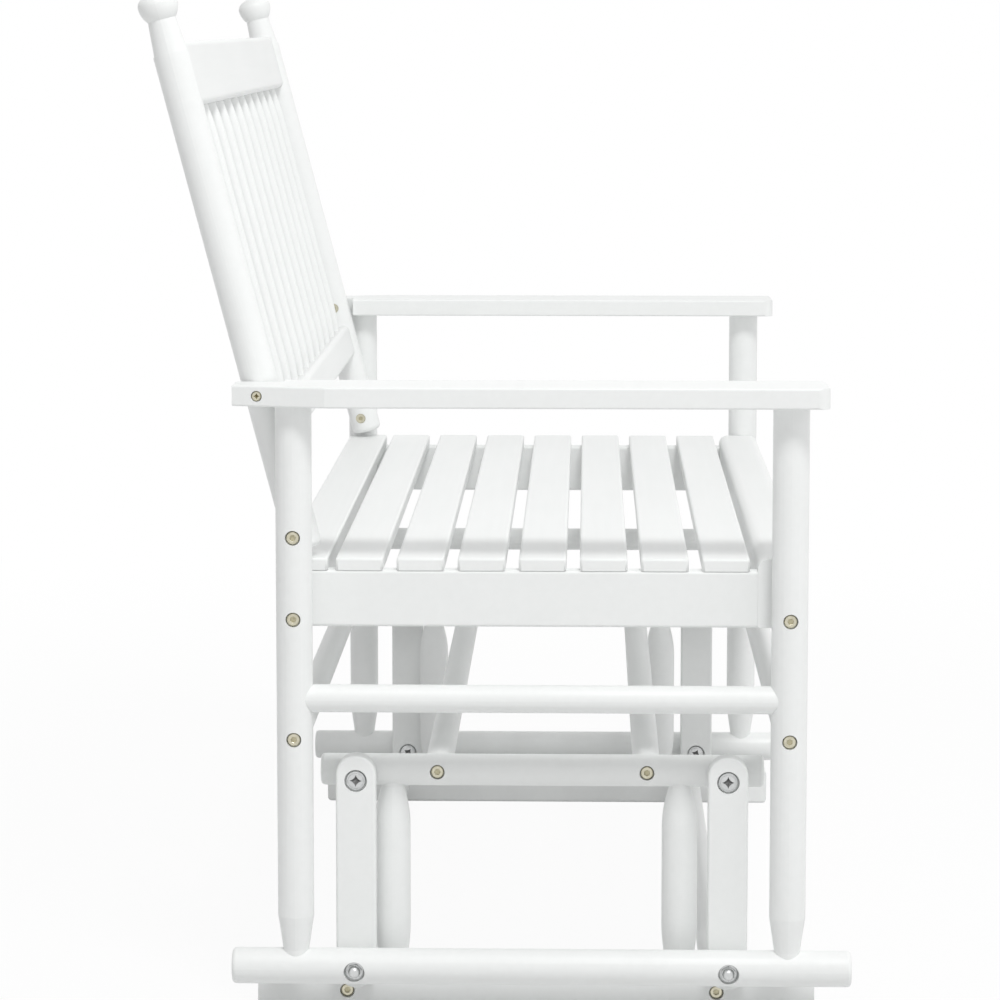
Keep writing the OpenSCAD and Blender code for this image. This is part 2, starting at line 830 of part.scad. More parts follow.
// Slats 1 to 7 are the row behind the apron, and slat 8 lies between the back posts and the rear legs
module seat_slat(number)
{
    y = number > slat_row_count ? rear_slat_y : slat_row_front + (number - 1) * slat_pitch;
    color(white_paint) placed()
        translate([0, y, seat_h - slat_t / 2]) bar_x(2 * seat_out_x, slat_w, slat_t, bar_round);
}

// Board of the armrest: straight inside, its outer edge drawn in towards the rear
module arm(side)
{
    mid_x = arm_out_x - arm_w / 2;
    arm_mid_y = arm_front_y + arm_len / 2;
    taper_angle = atan(arm_taper / arm_taper_len);
    color(white_paint) placed() on_side(side) difference() {
        intersection() {
            translate([mid_x, arm_mid_y, arm_low])
                linear_extrude(arm_t) soft_rect(arm_w, arm_len, arm_corner);
            translate([mid_x, arm_mid_y, arm_mid]) bar_y(arm_len, arm_w, arm_t, arm_round);
            translate([mid_x, arm_mid_y, arm_mid]) bar_x(arm_w, arm_len, arm_t, arm_end_round);
            translate([arm_out_x, arm_rear_y - arm_taper_len, arm_mid]) rotate([0, 0, taper_angle])
                translate([-arm_len, 0, 0]) bar_y(4 * arm_len, 2 * arm_len, arm_t, arm_round);
        }
        for (end = [FRONT, REAR])
            translate([leg_x, end * leg_y, arm_low - cut_over])
                cylinder(d = tenon_d + 2 * glue_gap, h = cut_over + tenon_depth + glue_gap);
        translate([arm_in_x - cut_over, notch_y, arm_low - cut_over])
            cube([leg_in_x - arm_in_x + cut_over, arm_len, arm_t + 2 * cut_over]);
        arm_screw_way();
    }
}

// The back

module back_post(side)
{
    color(white_paint) placed() on_side(side) difference() {
        leaning() difference() {
            translate([post_x, 0, 0]) rotate_extrude() polygon(post_outline());
            back_rails(glue_gap);
        }
        leg_bolt_ways();
        arm_screw_way();
        translate([0, leg_y, post_bolt_z]) sleeve_nut_way();
        translate([0, arm_screw_y, arm_mid]) sleeve_nut_way();
    }
}

// Both rails of the back in the leaning frame, larger all round by gap
module back_rails(gap)
{
    crest_bar(gap);
    bottom_bar(gap);
}

module crest_bar(gap)
{
    len = 2 * (post_x - post_d / 2 + housing_depth + gap);
    translate([0, 0, crest_low + crest_h / 2])
        bar_x(len, back_rail_t + 2 * gap, crest_h + 2 * gap, back_rail_round + gap);
}

module bottom_bar(gap)
{
    len = 2 * (post_x - post_d / 2 + housing_depth + gap);
    translate([0, 0, back_rail_top - back_rail_h / 2])
        bar_x(len, back_rail_t + 2 * gap, back_rail_h + 2 * gap, back_rail_round + gap);
}

// Places children at each back spindle's axis
module at_back_spindles()
{
    for (i = [1:back_spindle_count])
        translate([post_x * (2 * i / (back_spindle_count + 1) - 1), 0, 0]) children();
}

module crest_rail()
{
    color(white_paint) placed() leaning() difference() {
        crest_bar(0);
        at_back_spindles()
            translate([0, 0, crest_low - cut_over])
                cylinder(d = back_spindle_end_d + 2 * glue_gap, h = cut_over + spindle_socket + glue_gap);
    }
}

module back_bottom_rail()
{
    color(white_paint) placed() leaning() difference() {
        bottom_bar(0);
        at_back_spindles()
            translate([0, 0, back_rail_top - spindle_socket - glue_gap])
                cylinder(d = back_spindle_end_d + 2 * glue_gap, h = spindle_socket + cut_over);
    }
}

module back_spindles()
{
    color(white_paint) placed() leaning() at_back_spindles() rotate_extrude() polygon(concat(
        [[0, back_rail_top - spindle_socket], [back_spindle_end_d / 2, back_rail_top - spindle_socket]],
        [for (i = [round_steps:-1:0])
            let (t = i / round_steps)
            [bulge(back_spindle_d, back_spindle_end_d, t) / 2, back_rail_top + back_spindle_taper * (1 - t)]],
        [for (i = [0:round_steps])
            let (t = i / round_steps)
            [bulge(back_spindle_d, back_spindle_end_d, t) / 2, crest_low - back_spindle_taper * (1 - t)]],
        [[back_spindle_end_d / 2, crest_low + spindle_socket], [0, crest_low + spindle_socket]]
    ));
}

// The seat frame's fasteners

module leg_bolts()
{
    color(brass) placed()
        for (side = [LEFT, RIGHT], b = leg_bolt_list)
            on_side(side) translate([0, b[0], b[1]]) wood_bolt(leg_bolt_floor, b[2]);
}

module arm_screws()
{
    color(brass) placed()
        for (side = [LEFT, RIGHT])
            on_side(side) translate([0, arm_screw_y, arm_mid])
                cross_bolt(arm_screw_floor, arm_screw_floor - post_tip_x);
}

module post_barrel_nuts()
{
    color(brass) placed()
        for (side = [LEFT, RIGHT], place = [[leg_y, post_bolt_z], [arm_screw_y, arm_mid]])
            on_side(side) translate([0, place[0], place[1]]) sleeve_nut();
}

base_beam(LEFT);  // base_beam_left
base_beam(RIGHT);  // base_beam_right
base_rail(LEFT);  // base_rail_left
base_rail(RIGHT);  // base_rail_right
base_spindle(LEFT, FRONT);  // base_spindle_front_left
base_spindle(RIGHT, FRONT);  // base_spindle_front_right
base_spindle(LEFT, REAR);  // base_spindle_rear_left
base_spindle(RIGHT, REAR);  // base_spindle_rear_right
base_cross_lower(cross_front_y);  // base_cross_lower_front
base_cross_lower(cross_rear_y);  // base_cross_lower_rear
base_cross_upper(FRONT);  // base_cross_upper_front
base_cross_upper(REAR);  // base_cross_upper_rear
base_bolts();
top_pivot_bolts();
top_pivot_nuts();
top_pivot_washers();
link(LEFT, FRONT);  // link_front_left
link(RIGHT, FRONT);  // link_front_right
link(LEFT, REAR);  // link_rear_left
link(RIGHT, REAR);  // link_rear_right
bottom_pivot_bolts();
bottom_pivot_nuts();
bottom_pivot_washers();
runner(LEFT);  // runner_left
runner(RIGHT);  // runner_right
leg(LEFT, FRONT);  // leg_front_left
leg(RIGHT, FRONT);  // leg_front_right
leg(LEFT, REAR);  // leg_rear_left
leg(RIGHT, REAR);  // leg_rear_right
side_stretcher(LEFT);  // side_stretcher_left
side_stretcher(RIGHT);  // side_stretcher_right
cross_stretcher(FRONT);  // cross_stretcher_front
cross_stretcher(REAR);  // cross_stretcher_rear
seat_rail(LEFT);  // seat_rail_left
seat_rail(RIGHT);  // seat_rail_right
front_apron();
rear_rail();
seat_slat(1);  // seat_slat_1
seat_slat(2);  // seat_slat_2
seat_slat(3);  // seat_slat_3
seat_slat(4);  // seat_slat_4
seat_slat(5);  // seat_slat_5
seat_slat(6);  // seat_slat_6
seat_slat(7);  // seat_slat_7
seat_slat(8);  // seat_slat_8
arm(LEFT);  // arm_left
arm(RIGHT);  // arm_right
back_post(LEFT);  // back_post_left
back_post(RIGHT);  // back_post_right
crest_rail();
back_bottom_rail();
back_spindles();
leg_bolts();
arm_screws();
post_barrel_nuts();
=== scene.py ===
"""Porch glider bench: paint, fasteners, slats, floor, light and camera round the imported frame."""

import json
import math
from collections import namedtuple

import bmesh
import bpy
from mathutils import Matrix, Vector

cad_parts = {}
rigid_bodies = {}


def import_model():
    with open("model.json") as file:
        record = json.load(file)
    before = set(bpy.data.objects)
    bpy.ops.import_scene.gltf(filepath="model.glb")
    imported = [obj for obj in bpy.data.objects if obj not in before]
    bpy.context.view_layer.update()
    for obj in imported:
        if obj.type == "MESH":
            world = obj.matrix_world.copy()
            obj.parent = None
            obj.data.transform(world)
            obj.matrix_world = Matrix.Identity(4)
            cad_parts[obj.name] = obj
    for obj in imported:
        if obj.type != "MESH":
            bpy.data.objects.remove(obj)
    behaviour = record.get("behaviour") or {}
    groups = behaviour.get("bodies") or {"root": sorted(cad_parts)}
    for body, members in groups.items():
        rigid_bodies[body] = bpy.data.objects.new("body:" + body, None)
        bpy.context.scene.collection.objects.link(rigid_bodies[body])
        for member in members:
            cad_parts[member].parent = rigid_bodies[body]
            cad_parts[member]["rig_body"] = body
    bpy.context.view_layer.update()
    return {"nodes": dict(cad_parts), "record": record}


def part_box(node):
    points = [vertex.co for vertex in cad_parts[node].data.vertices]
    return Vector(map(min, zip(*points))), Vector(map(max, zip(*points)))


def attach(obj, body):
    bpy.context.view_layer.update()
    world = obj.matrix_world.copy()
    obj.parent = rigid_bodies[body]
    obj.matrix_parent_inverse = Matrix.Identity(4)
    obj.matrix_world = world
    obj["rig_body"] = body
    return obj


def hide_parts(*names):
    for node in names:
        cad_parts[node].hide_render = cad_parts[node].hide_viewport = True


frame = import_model()

MM = 0.001
SLOTS = {part["node"]: part["material_slot"] for part in frame["record"]["subparts"]}

# Camera

# It stands on the sitter's right, at the height of the finials, and looks a little down.
# Angles are in degrees. The focal length and the shift are shares of the sensor's width.
CAMERA_PLACE = (-3.856, -0.0863, 0.971)
CAMERA_PITCH = 6.1723
CAMERA_YAW = 1.4233
FOCAL_SHARE = 3.5118
SHIFT_UP = -0.10
SENSOR_WIDTH = 36.0
VIEW_END = 60


def make_camera():
    """Takes the photograph's place and framing, looking along X."""
    data = bpy.data.cameras.new("photo_camera")
    data.sensor_width = SENSOR_WIDTH
    data.lens = FOCAL_SHARE * SENSOR_WIDTH
    data.shift_y = SHIFT_UP
    data.clip_end = VIEW_END
    camera = bpy.data.objects.new("photo_camera", data)
    camera.location = CAMERA_PLACE
    camera.rotation_euler = (math.radians(90 - CAMERA_PITCH), 0, math.radians(CAMERA_YAW - 90))
    bpy.context.scene.collection.objects.link(camera)
    bpy.context.scene.camera = camera


# Shader helpers

# The ranges that hold most of one noise, and of the sum of two
NOISE_RANGE = (0.3, 0.7)
SUM_RANGE = (0.7, 1.3)


def add(tree, kind, inputs=None, **settings):
    """Adds a shader node, sets its properties, and fills or links its inputs."""
    made = tree.nodes.new(kind)
    for name, value in settings.items():
        setattr(made, name, value)
    for name, value in (inputs or {}).items():
        if isinstance(value, bpy.types.NodeSocket):
            tree.links.new(value, made.inputs[name])
        else:
            made.inputs[name].default_value = value
    return made


def new_material(name):
    """A material without nodes, and its tree."""
    material = bpy.data.materials.new(name)
    material.use_nodes = True
    tree = material.node_tree
    tree.nodes.clear()
    return material, tree


def finish_material(tree, shader):
    """Sends a shader to the material's surface."""
    out = tree.nodes.new("ShaderNodeOutputMaterial")
    tree.links.new(shader.outputs[0], out.inputs["Surface"])


def noise(tree, kind, turn=(0, 0, 0)):
    """Noise in object coordinates, turned by turn and stretched along the mapping's X."""
    along, across, detail, roughness = kind
    placed = add(tree, "ShaderNodeMapping", {
        "Vector": add(tree, "ShaderNodeTexCoord").outputs["Object"],
        "Rotation": turn,
        "Scale": (along, across, across),
    })
    made = add(tree, "ShaderNodeTexNoise", {
        "Vector": placed.outputs["Vector"],
        "Scale": 1.0,
        "Detail": detail,
        "Roughness": roughness,
    })
    return made.outputs["Fac"]


def remap(tree, value, low, high, span=NOISE_RANGE):
    """Maps a span of values to the span from low to high."""
    mapped = add(tree, "ShaderNodeMapRange", {
        "Value": value, "From Min": span[0], "From Max": span[1], "To Min": low, "To Max": high})
    return mapped.outputs["Result"]


def mix_colours(tree, share, first, second):
    """A colour between the first and the second, by share."""
    mixed = add(tree, "ShaderNodeMix", {"Factor": share, "A": first, "B": second}, data_type="RGBA")
    return mixed.outputs["Result"]


def bump(tree, height, relief, under=None):
    """Bumps of a relief's strength and height, on top of those of a normal under them."""
    strength, distance = relief
    inputs = {"Height": height, "Strength": strength, "Distance": distance}
    if under is not None:
        inputs["Normal"] = under
    return add(tree, "ShaderNodeBump", inputs).outputs["Normal"]


# Materials

# Each noise has its waves per metre along and across the grain, its detail and its roughness
GRAIN = (5.0, 130.0, 5.0, 0.6)
BRUSH = (22.0, 900.0, 2.0, 0.55)
PEEL = (1500.0, 1500.0, 2.0, 0.55)
CLOUD = (3.0, 9.0, 3.0, 0.55)
METAL_PATCH = (260.0, 260.0, 3.0, 0.55)
METAL_SCRATCH = (300.0, 4200.0, 2.0, 0.55)
NYLON_CLOUD = (120.0, 120.0, 2.0, 0.55)
NYLON_PITS = (2400.0, 2400.0, 2.0, 0.55)
# The turn of the scratches, in radians round each axis
SCRATCH_TURN = (0.4, 0.3, 0.9)

# Each relief has its strength and its height in metres
GRAIN_RELIEF = (0.22, 0.25 * MM)
BRUSH_RELIEF = (0.16, 0.08 * MM)
PEEL_RELIEF = (0.12, 0.05 * MM)
SCRATCH_RELIEF = (0.2, 0.04 * MM)
PIT_RELIEF = (0.15, 0.04 * MM)

PAINT_LIGHT = (0.905, 0.917, 0.910, 1)
PAINT_DARK = (0.880, 0.893, 0.885, 1)
PAINT_ROUGH = (0.36, 0.50)
PAINT_IOR = 1.45
NYLON_LIGHT = (0.86, 0.86, 0.83, 1)
NYLON_DARK = (0.80, 0.80, 0.77, 1)
NYLON_ROUGH = (0.42, 0.55)

# Each metal has its light and its dark colour, and its lowest and highest roughness. The recess
# entries are darker copies of the plated ones, which paint shade into the sockets.
METALS = {
    "brass_plated": ((0.68, 0.65, 0.52, 1), (0.58, 0.55, 0.43, 1), (0.28, 0.44)),
    "brass_recess_painted_shade": ((0.58, 0.54, 0.39, 1), (0.48, 0.45, 0.32, 1), (0.48, 0.62)),
    "zinc_plated": ((0.68, 0.69, 0.69, 1), (0.60, 0.61, 0.61, 1), (0.26, 0.42)),
    "zinc_recess_painted_shade": ((0.36, 0.36, 0.36, 1), (0.28, 0.28, 0.28, 1), (0.50, 0.65)),
}


def painted_wood(name, turn):
    """Satin white paint over straight-grained wood. The turn brings the grain onto the mapping's X."""
    material, tree = new_material(name)
    grain = noise(tree, GRAIN, turn)
    brush = noise(tree, BRUSH, turn)
    peel = noise(tree, PEEL, turn)
    cloud = noise(tree, CLOUD, turn)
    shade = add(tree, "ShaderNodeMath", {0: grain, 1: cloud}, operation="ADD").outputs[0]
    dark = remap(tree, shade, 0.0, 1.0, SUM_RANGE)
    normal = bump(tree, grain, GRAIN_RELIEF)
    normal = bump(tree, brush, BRUSH_RELIEF, normal)
    normal = bump(tree, peel, PEEL_RELIEF, normal)
    finish_material(tree, add(tree, "ShaderNodeBsdfPrincipled", {
        "Base Color": mix_colours(tree, dark, PAINT_LIGHT, PAINT_DARK),
        "Roughness": remap(tree, cloud, *PAINT_ROUGH),
        "IOR": PAINT_IOR,
        "Normal": normal,
    }))
    return material


def worn_metal(name, light, dark, rough):
    """Plated metal with fine scratches, dull patches and a slight change of tone."""
    material, tree = new_material(name)
    patch = noise(tree, METAL_PATCH)
    scratch = noise(tree, METAL_SCRATCH, SCRATCH_TURN)
    finish_material(tree, add(tree, "ShaderNodeBsdfPrincipled", {
        "Base Color": mix_colours(tree, remap(tree, patch, 0.0, 1.0), light, dark),
        "Metallic": 1.0,
        "Roughness": remap(tree, patch, *rough),
        "Normal": bump(tree, scratch, SCRATCH_RELIEF),
    }))
    return material


def nylon_plastic():
    """Off-white plastic of the washers, with a cloudy tone and fine pits."""
    material, tree = new_material("nylon_plain")
    cloud = noise(tree, NYLON_CLOUD)
    pits = noise(tree, NYLON_PITS)
    finish_material(tree, add(tree, "ShaderNodeBsdfPrincipled", {
        "Base Color": mix_colours(tree, cloud, NYLON_LIGHT, NYLON_DARK),
        "Roughness": remap(tree, cloud, *NYLON_ROUGH),
        "Normal": bump(tree, pits, PIT_RELIEF),
    }))
    return material


# Paint on the CAD nodes

BACK_LEAN = math.radians(14.7)
# Turns that bring each direction of grain onto the mapping's X
TURN_X = (0, 0, 0)
TURN_Y = (0, 0, math.radians(-90))
TURN_Z = (0, math.radians(90), 0)
TURN_BACK = (BACK_LEAN, math.radians(90), 0)

# The beginnings of the names of the pieces that lie along X or Y, or lean with the back
ALONG_X = (
    "base_cross", "cross_stretcher", "front_apron", "rear_rail", "seat_slat", "crest_rail",
    "back_bottom")
ALONG_Y = (
    "base_beam", "base_rail", "runner", "side_stretcher", "seat_rail", "arm_left", "arm_right")
ALONG_BACK = ("back_post", "back_spindles")


def paint_nodes(plain):
    """Gives every CAD node its finish. Plain has those of the slots that aren't painted wood."""
    along_x = painted_wood("white_paint_x", TURN_X)
    along_y = painted_wood("white_paint_y", TURN_Y)
    upright = painted_wood("white_paint_z", TURN_Z)
    along_back = painted_wood("white_paint_back", TURN_BACK)
    for name, node in frame["nodes"].items():
        if SLOTS[name] in plain:
            material = plain[SLOTS[name]]
        elif name.startswith(ALONG_X):
            material = along_x
        elif name.startswith(ALONG_Y):
            material = along_y
        elif name.startswith(ALONG_BACK):
            material = along_back
        else:
            material = upright
        node.data.materials.clear()
        node.data.materials.append(material)


# Finer pieces


def stand_in(mesh, name, materials):
    """Makes the finer piece of a mesh, in the place of a CAD node and on its body."""
    data = bpy.data.meshes.new(name + "_fine")
    mesh.to_mesh(data)
    mesh.free()
    for material in materials:
        data.materials.append(material)
    made = bpy.data.objects.new(name + "_fine", data)
    bpy.context.scene.collection.objects.link(made)
    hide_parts(name)
    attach(made, frame["nodes"][name]["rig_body"])


# Forms of the fasteners, in millimetres

# A form is a list of rings, from the middle of the fastener's outer face to its other end.
# A ring has its depth below the outer face, its outline, and the finish of the band that leads to it.
# Bands inside a socket take a darker copy of the metal: painted shade.
# A step is a ring's depth and outline alone. A ring without an outline is a point on the axis.
Ring = namedtuple("Ring", "depth outline finish")
# Finish indexes: the plain plating, and the darker copy that is painted shade in the sockets
PLATED = 0
PAINTED_SHADE_RECESS = 1

BOLT_HEAD = 5.0
BOLT_SHANK = 3.0
BOLT_CHAMFER = 0.9
PIVOT_HEAD = 5.0
PIVOT_SHANK = 4.0
PIVOT_CHAMFER = 0.8
PIVOT_DOME = 38.0
CHAMFER_LENGTH = 1.0
BORE_CLEARANCE = 0.05
NUT_CORNER = 7.4
NUT_CORNER_CUT = 6.7
NUT_CORNER_SLOPE = 0.6
NUT_DOME = 6.0
NUT_DOME_STEP = 15
NUT_FLANGE = 2.0
NUT_BORE_END = 1.0
SLEEVE_CAP = 2.0
SLEEVE_RADIUS = 4.5
SLEEVE_BORE_END = 1.0
STAR_POWER = 0.68


def circle(radius):
    """Outline of a circle."""
    return lambda turn: radius


def hexagon(corner, cut=math.inf):
    """Outline of a hexagon, with its corners cut to a circle."""
    flat = corner * math.cos(math.pi / 6)
    return lambda turn: min(cut, flat / math.cos((turn + math.pi / 6) % (math.pi / 3) - math.pi / 6))


def star(tip):
    """Outline of the four-pointed recess of a cross-head screw."""
    def outline(turn):
        both = abs(math.cos(turn)) ** STAR_POWER + abs(math.sin(turn)) ** STAR_POWER
        return tip / both ** (1 / STAR_POWER)
    return outline


def domed(depth):
    """Depth below the low dome of a pivot's head, which falls away from its middle."""
    return lambda radius: PIVOT_DOME - math.sqrt(PIVOT_DOME ** 2 - radius ** 2) + depth


# Steps of the sockets, from the middle of the floor to the rim
BOLT_SOCKET = [(2.3, None), (1.8, hexagon(2.8)), (0.3, hexagon(2.95)), (0.0, hexagon(3.35, 3.25))]
SCREW_SOCKET = [(3.0, None), (2.4, star(0.9)), (0.2, star(2.9)), (0.0, star(3.2))]
SLEEVE_SOCKET = [(1.9, None), (1.9, hexagon(2.6)), (0.25, hexagon(2.6)), (0.0, hexagon(2.9, 2.85))]
PIVOT_SOCKET = [
    (3.4, None), (3.0, star(1.8)), (1.2, star(4.6)), (domed(0.25), star(5.8)), (domed(0.0), star(6.2))]

# Edges of the heads, from the face to the side, each as depths and distances in from the side
BOLT_EDGE = [(0.0, 1.2), (0.12, 0.7), (0.45, 0.25), (0.95, 0.0)]
SCREW_EDGE = [(0.0, 1.3), (0.2, 0.7), (0.6, 0.2), (1.1, 0.0)]
SLEEVE_EDGE = [(0.0, 0.8), (0.15, 0.35), (0.55, 0.0)]
FLANGE_EDGE = [(0.0, 0.6), (0.2, 0.15), (0.6, 0.0)]
# The pivot's edge has a ring groove, and its depths lie below the dome
PIVOT_EDGE = [(0.0, 2.3), (0.35, 2.1), (0.35, 1.7), (0.0, 1.5), (0.0, 0.5), (0.25, 0.12), (0.65, 0.0)]


def edge_steps(side, edge, start=0.0):
    """Steps of a head's edge out to the radius of its side. Their depths count from start."""
    return [(start + depth, circle(side - inset)) for depth, inset in edge]


def shank_steps(side, head, shank, length, chamfer):
    """Steps of a head's side and underside, and of a plain shank with a chamfered end."""
    return [
        (head, circle(side)),
        (head, circle(shank)),
        (length - CHAMFER_LENGTH, circle(shank)),
        (length, circle(shank - chamfer)),
        (length, None),
    ]


def form(socket, body):
    """Rings from the steps of a socket, in the darker finish of painted shade, and of the plated body
    that starts at its rim.
    """
    inside = [Ring(depth, outline, PAINTED_SHADE_RECESS) for depth, outline in socket[:-1]]
    outside = [Ring(depth, outline, PLATED) for depth, outline in socket[-1:] + body]
    return inside + outside


def wood_bolt(length, width):
    """Bolt with a hexagon socket in a flat head."""
    side = width / 2
    shank = shank_steps(side, BOLT_HEAD, BOLT_SHANK, length, BOLT_CHAMFER)
    return form(BOLT_SOCKET, edge_steps(side, BOLT_EDGE) + shank)


def arm_screw(length, width):
    """Screw with a small cross recess in a flat head."""
    side = width / 2
    shank = shank_steps(side, BOLT_HEAD, BOLT_SHANK, length, BOLT_CHAMFER)
    return form(SCREW_SOCKET, edge_steps(side, SCREW_EDGE) + shank)


def pivot_bolt(length, width):
    """Bolt with a cross recess and a ring groove in a low domed head."""
    side = width / 2
    edge = [(domed(depth), circle(side - inset)) for depth, inset in PIVOT_EDGE]
    shank = shank_steps(side, PIVOT_HEAD, PIVOT_SHANK, length, PIVOT_CHAMFER)
    return form(PIVOT_SOCKET, edge + shank)


def cap_nut(length, width):
    """Hexagon nut with a closed dome and a round flange, bored from its flange."""
    flange = length - NUT_FLANGE
    bore = circle(PIVOT_SHANK + BORE_CLEARANCE)
    angles = [math.radians(turn) for turn in range(NUT_DOME_STEP, 90 + NUT_DOME_STEP, NUT_DOME_STEP)]
    dome = [(NUT_DOME * (1 - math.cos(angle)), circle(NUT_DOME * math.sin(angle))) for angle in angles]
    sides = [
        (NUT_DOME, hexagon(NUT_CORNER, NUT_CORNER_CUT)),
        (NUT_DOME + NUT_CORNER_SLOPE, hexagon(NUT_CORNER)),
        (flange, hexagon(NUT_CORNER)),
    ]
    inside = [
        (length, circle(width / 2)),
        (length, bore),
        (NUT_DOME - NUT_BORE_END, bore),
        (NUT_DOME - NUT_BORE_END, None),
    ]
    edge = edge_steps(width / 2, FLANGE_EDGE, flange)
    return form([], [(0.0, None)] + dome + sides + edge + inside)


def sleeve_nut(length, width):
    """Round nut with a hexagon socket in its cap, bored from its other end."""
    side = width / 2
    bore = circle(BOLT_SHANK + BORE_CLEARANCE)
    sleeve = [
        (SLEEVE_CAP, circle(side)),
        (SLEEVE_CAP, circle(SLEEVE_RADIUS)),
        (length, circle(SLEEVE_RADIUS)),
    ]
    inside = [
        (length, bore),
        (SLEEVE_CAP + SLEEVE_BORE_END, bore),
        (SLEEVE_CAP + SLEEVE_BORE_END, None),
    ]
    return form(SLEEVE_SOCKET, edge_steps(side, SLEEVE_EDGE) + sleeve + inside)


# Fasteners in their places

SEGMENTS = 72
SHARP_EDGE = math.radians(32)
WELD = 0.001 * MM
# Decimals to which places are rounded before they are sorted
SORT_DIGITS = 5
OUTWARD = 1
INWARD = -1
# The second finish of each is a darker copy of the metal, painted shade for the sockets' insides
BRASS = ("brass_plated", "brass_recess_painted_shade")
ZINC = ("zinc_plated", "zinc_recess_painted_shade")

# Each node has its form, the way its outer faces look, its finishes, and the turn from each
# fastener to the next in radians
FASTENERS = {
    "leg_bolts": (wood_bolt, OUTWARD, BRASS, 0.37),
    "base_bolts": (wood_bolt, OUTWARD, BRASS, 0.53),
    "arm_screws": (arm_screw, OUTWARD, BRASS, 0.09),
    "post_barrel_nuts": (sleeve_nut, INWARD, BRASS, 0.41),
    "top_pivot_bolts": (pivot_bolt, OUTWARD, ZINC, 0.03),
    "bottom_pivot_bolts": (pivot_bolt, INWARD, ZINC, 0.21),
    "top_pivot_nuts": (cap_nut, INWARD, ZINC, 0.29),
    "bottom_pivot_nuts": (cap_nut, OUTWARD, ZINC, 0.29),
}


def add_ring(mesh, ring, face, out, axis, turn):
    """The corners of one ring round an axis along X, or one point where it has no outline."""
    if ring.outline is None:
        return [mesh.verts.new((face - out * ring.depth * MM, axis[0], axis[1]))]
    corners = []
    for i in range(SEGMENTS):
        angle = 2 * math.pi * i / SEGMENTS
        radius = ring.outline(angle)
        depth = ring.depth(radius) if callable(ring.depth) else ring.depth
        corners.append(mesh.verts.new((
            face - out * depth * MM,
            axis[0] + radius * MM * math.cos(angle + turn),
            axis[1] + radius * MM * math.sin(angle + turn))))
    return corners


def add_fastener(mesh, rings, face, out, axis, turn):
    """Adds one closed body of rings. Its outer face lies at face on X, and looks towards out."""
    loops = [add_ring(mesh, ring, face, out, axis, turn) for ring in rings]
    for first, second, ring in zip(loops, loops[1:], rings[1:]):
        for i in range(SEGMENTS):
            j = (i + 1) % SEGMENTS
            corners = [
                first[i % len(first)], first[j % len(first)],
                second[j % len(second)], second[i % len(second)]]
            band = mesh.faces.new(list(dict.fromkeys(corners)))
            band.material_index = ring.finish
            band.smooth = True


def solid_boxes(name):
    """Lowest and highest corner of each separate solid in a CAD node."""
    mesh = bmesh.new()
    mesh.from_mesh(frame["nodes"][name].data)
    bmesh.ops.remove_doubles(mesh, verts=mesh.verts, dist=WELD)
    left = set(mesh.verts)
    boxes = []
    while left:
        waiting = [left.pop()]
        corners = []
        while waiting:
            vert = waiting.pop()
            corners.append(vert.co.copy())
            near = {edge.other_vert(vert) for edge in vert.link_edges} & left
            left -= near
            waiting.extend(near)
        boxes.append((
            Vector([min(corner[k] for corner in corners) for k in range(3)]),
            Vector([max(corner[k] for corner in corners) for k in range(3)])))
    mesh.free()
    return sorted(boxes, key=lambda box: tuple(round(part, SORT_DIGITS) for part in box[0]))


def make_fasteners(name, form_of, facing, finishes, turn_step):
    """Puts finer fasteners in the places of a CAD node's solids.

    Facing is OUTWARD where their outer faces look away from the bench's middle.
    """
    mesh = bmesh.new()
    for count, (low, high) in enumerate(solid_boxes(name)):
        out = facing if low.x + high.x > 0 else -facing
        face = high.x if out > 0 else low.x
        rings = form_of((high.x - low.x) / MM, (high.y - low.y) / MM)
        axis = ((low.y + high.y) / 2, (low.z + high.z) / 2)
        add_fastener(mesh, rings, face, out, axis, count * turn_step)
    bmesh.ops.recalc_face_normals(mesh, faces=mesh.faces)
    for edge in mesh.edges:
        edge.smooth = edge.calc_face_angle(0) < SHARP_EDGE
    stand_in(mesh, name, finishes)


# Slats with rounded ends

SLAT_ROUND = 2.5 * MM
ROUND_STEPS = 5
# Blender's bevel profile for a quarter of a circle
CIRCULAR = 0.5
# A face is flat, and not part of a rounding, where one part of its normal is above this
FLAT = 0.9999


def make_slat(name):
    """Puts a slat of the same size in a CAD slat's place, with its top edges and corners rounded."""
    low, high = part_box(name)
    mesh = bmesh.new()
    bmesh.ops.create_cube(mesh, size=1)
    for vert in mesh.verts:
        vert.co = Vector([low[k] if vert.co[k] < 0 else high[k] for k in range(3)])
    rounded = [edge for edge in mesh.edges if max(vert.co.z for vert in edge.verts) == high.z]
    bmesh.ops.bevel(
        mesh, geom=rounded, offset=SLAT_ROUND, segments=ROUND_STEPS, profile=CIRCULAR, affect="EDGES")
    for face in mesh.faces:
        face.normal_update()
        face.smooth = max(abs(part) for part in face.normal) < FLAT
    stand_in(mesh, name, frame["nodes"][name].data.materials)


# Floor

FLOOR_HALF = 9.0
FLOOR_DROP = 0.3 * MM
FLOOR_COLOUR = (0.84, 0.84, 0.84, 1)
FLOOR_ROUGH = 0.5
WHITE = (1, 1, 1, 1)
# Share of plain white in what the camera sees of the floor near the bench. Far away it is 1.
FLOOR_NEAR = 0.93
# Distances from the middle between which that share grows
FADE_FROM = 0.9
FADE_TO = 2.6


def seen_plainly(tree):
    """1 for rays from the camera and for reflections, 0 for light that falls on the object."""
    path = add(tree, "ShaderNodeLightPath").outputs
    both = {0: path["Is Camera Ray"], 1: path["Is Glossy Ray"]}
    return add(tree, "ShaderNodeMath", both, operation="MAXIMUM").outputs[0]


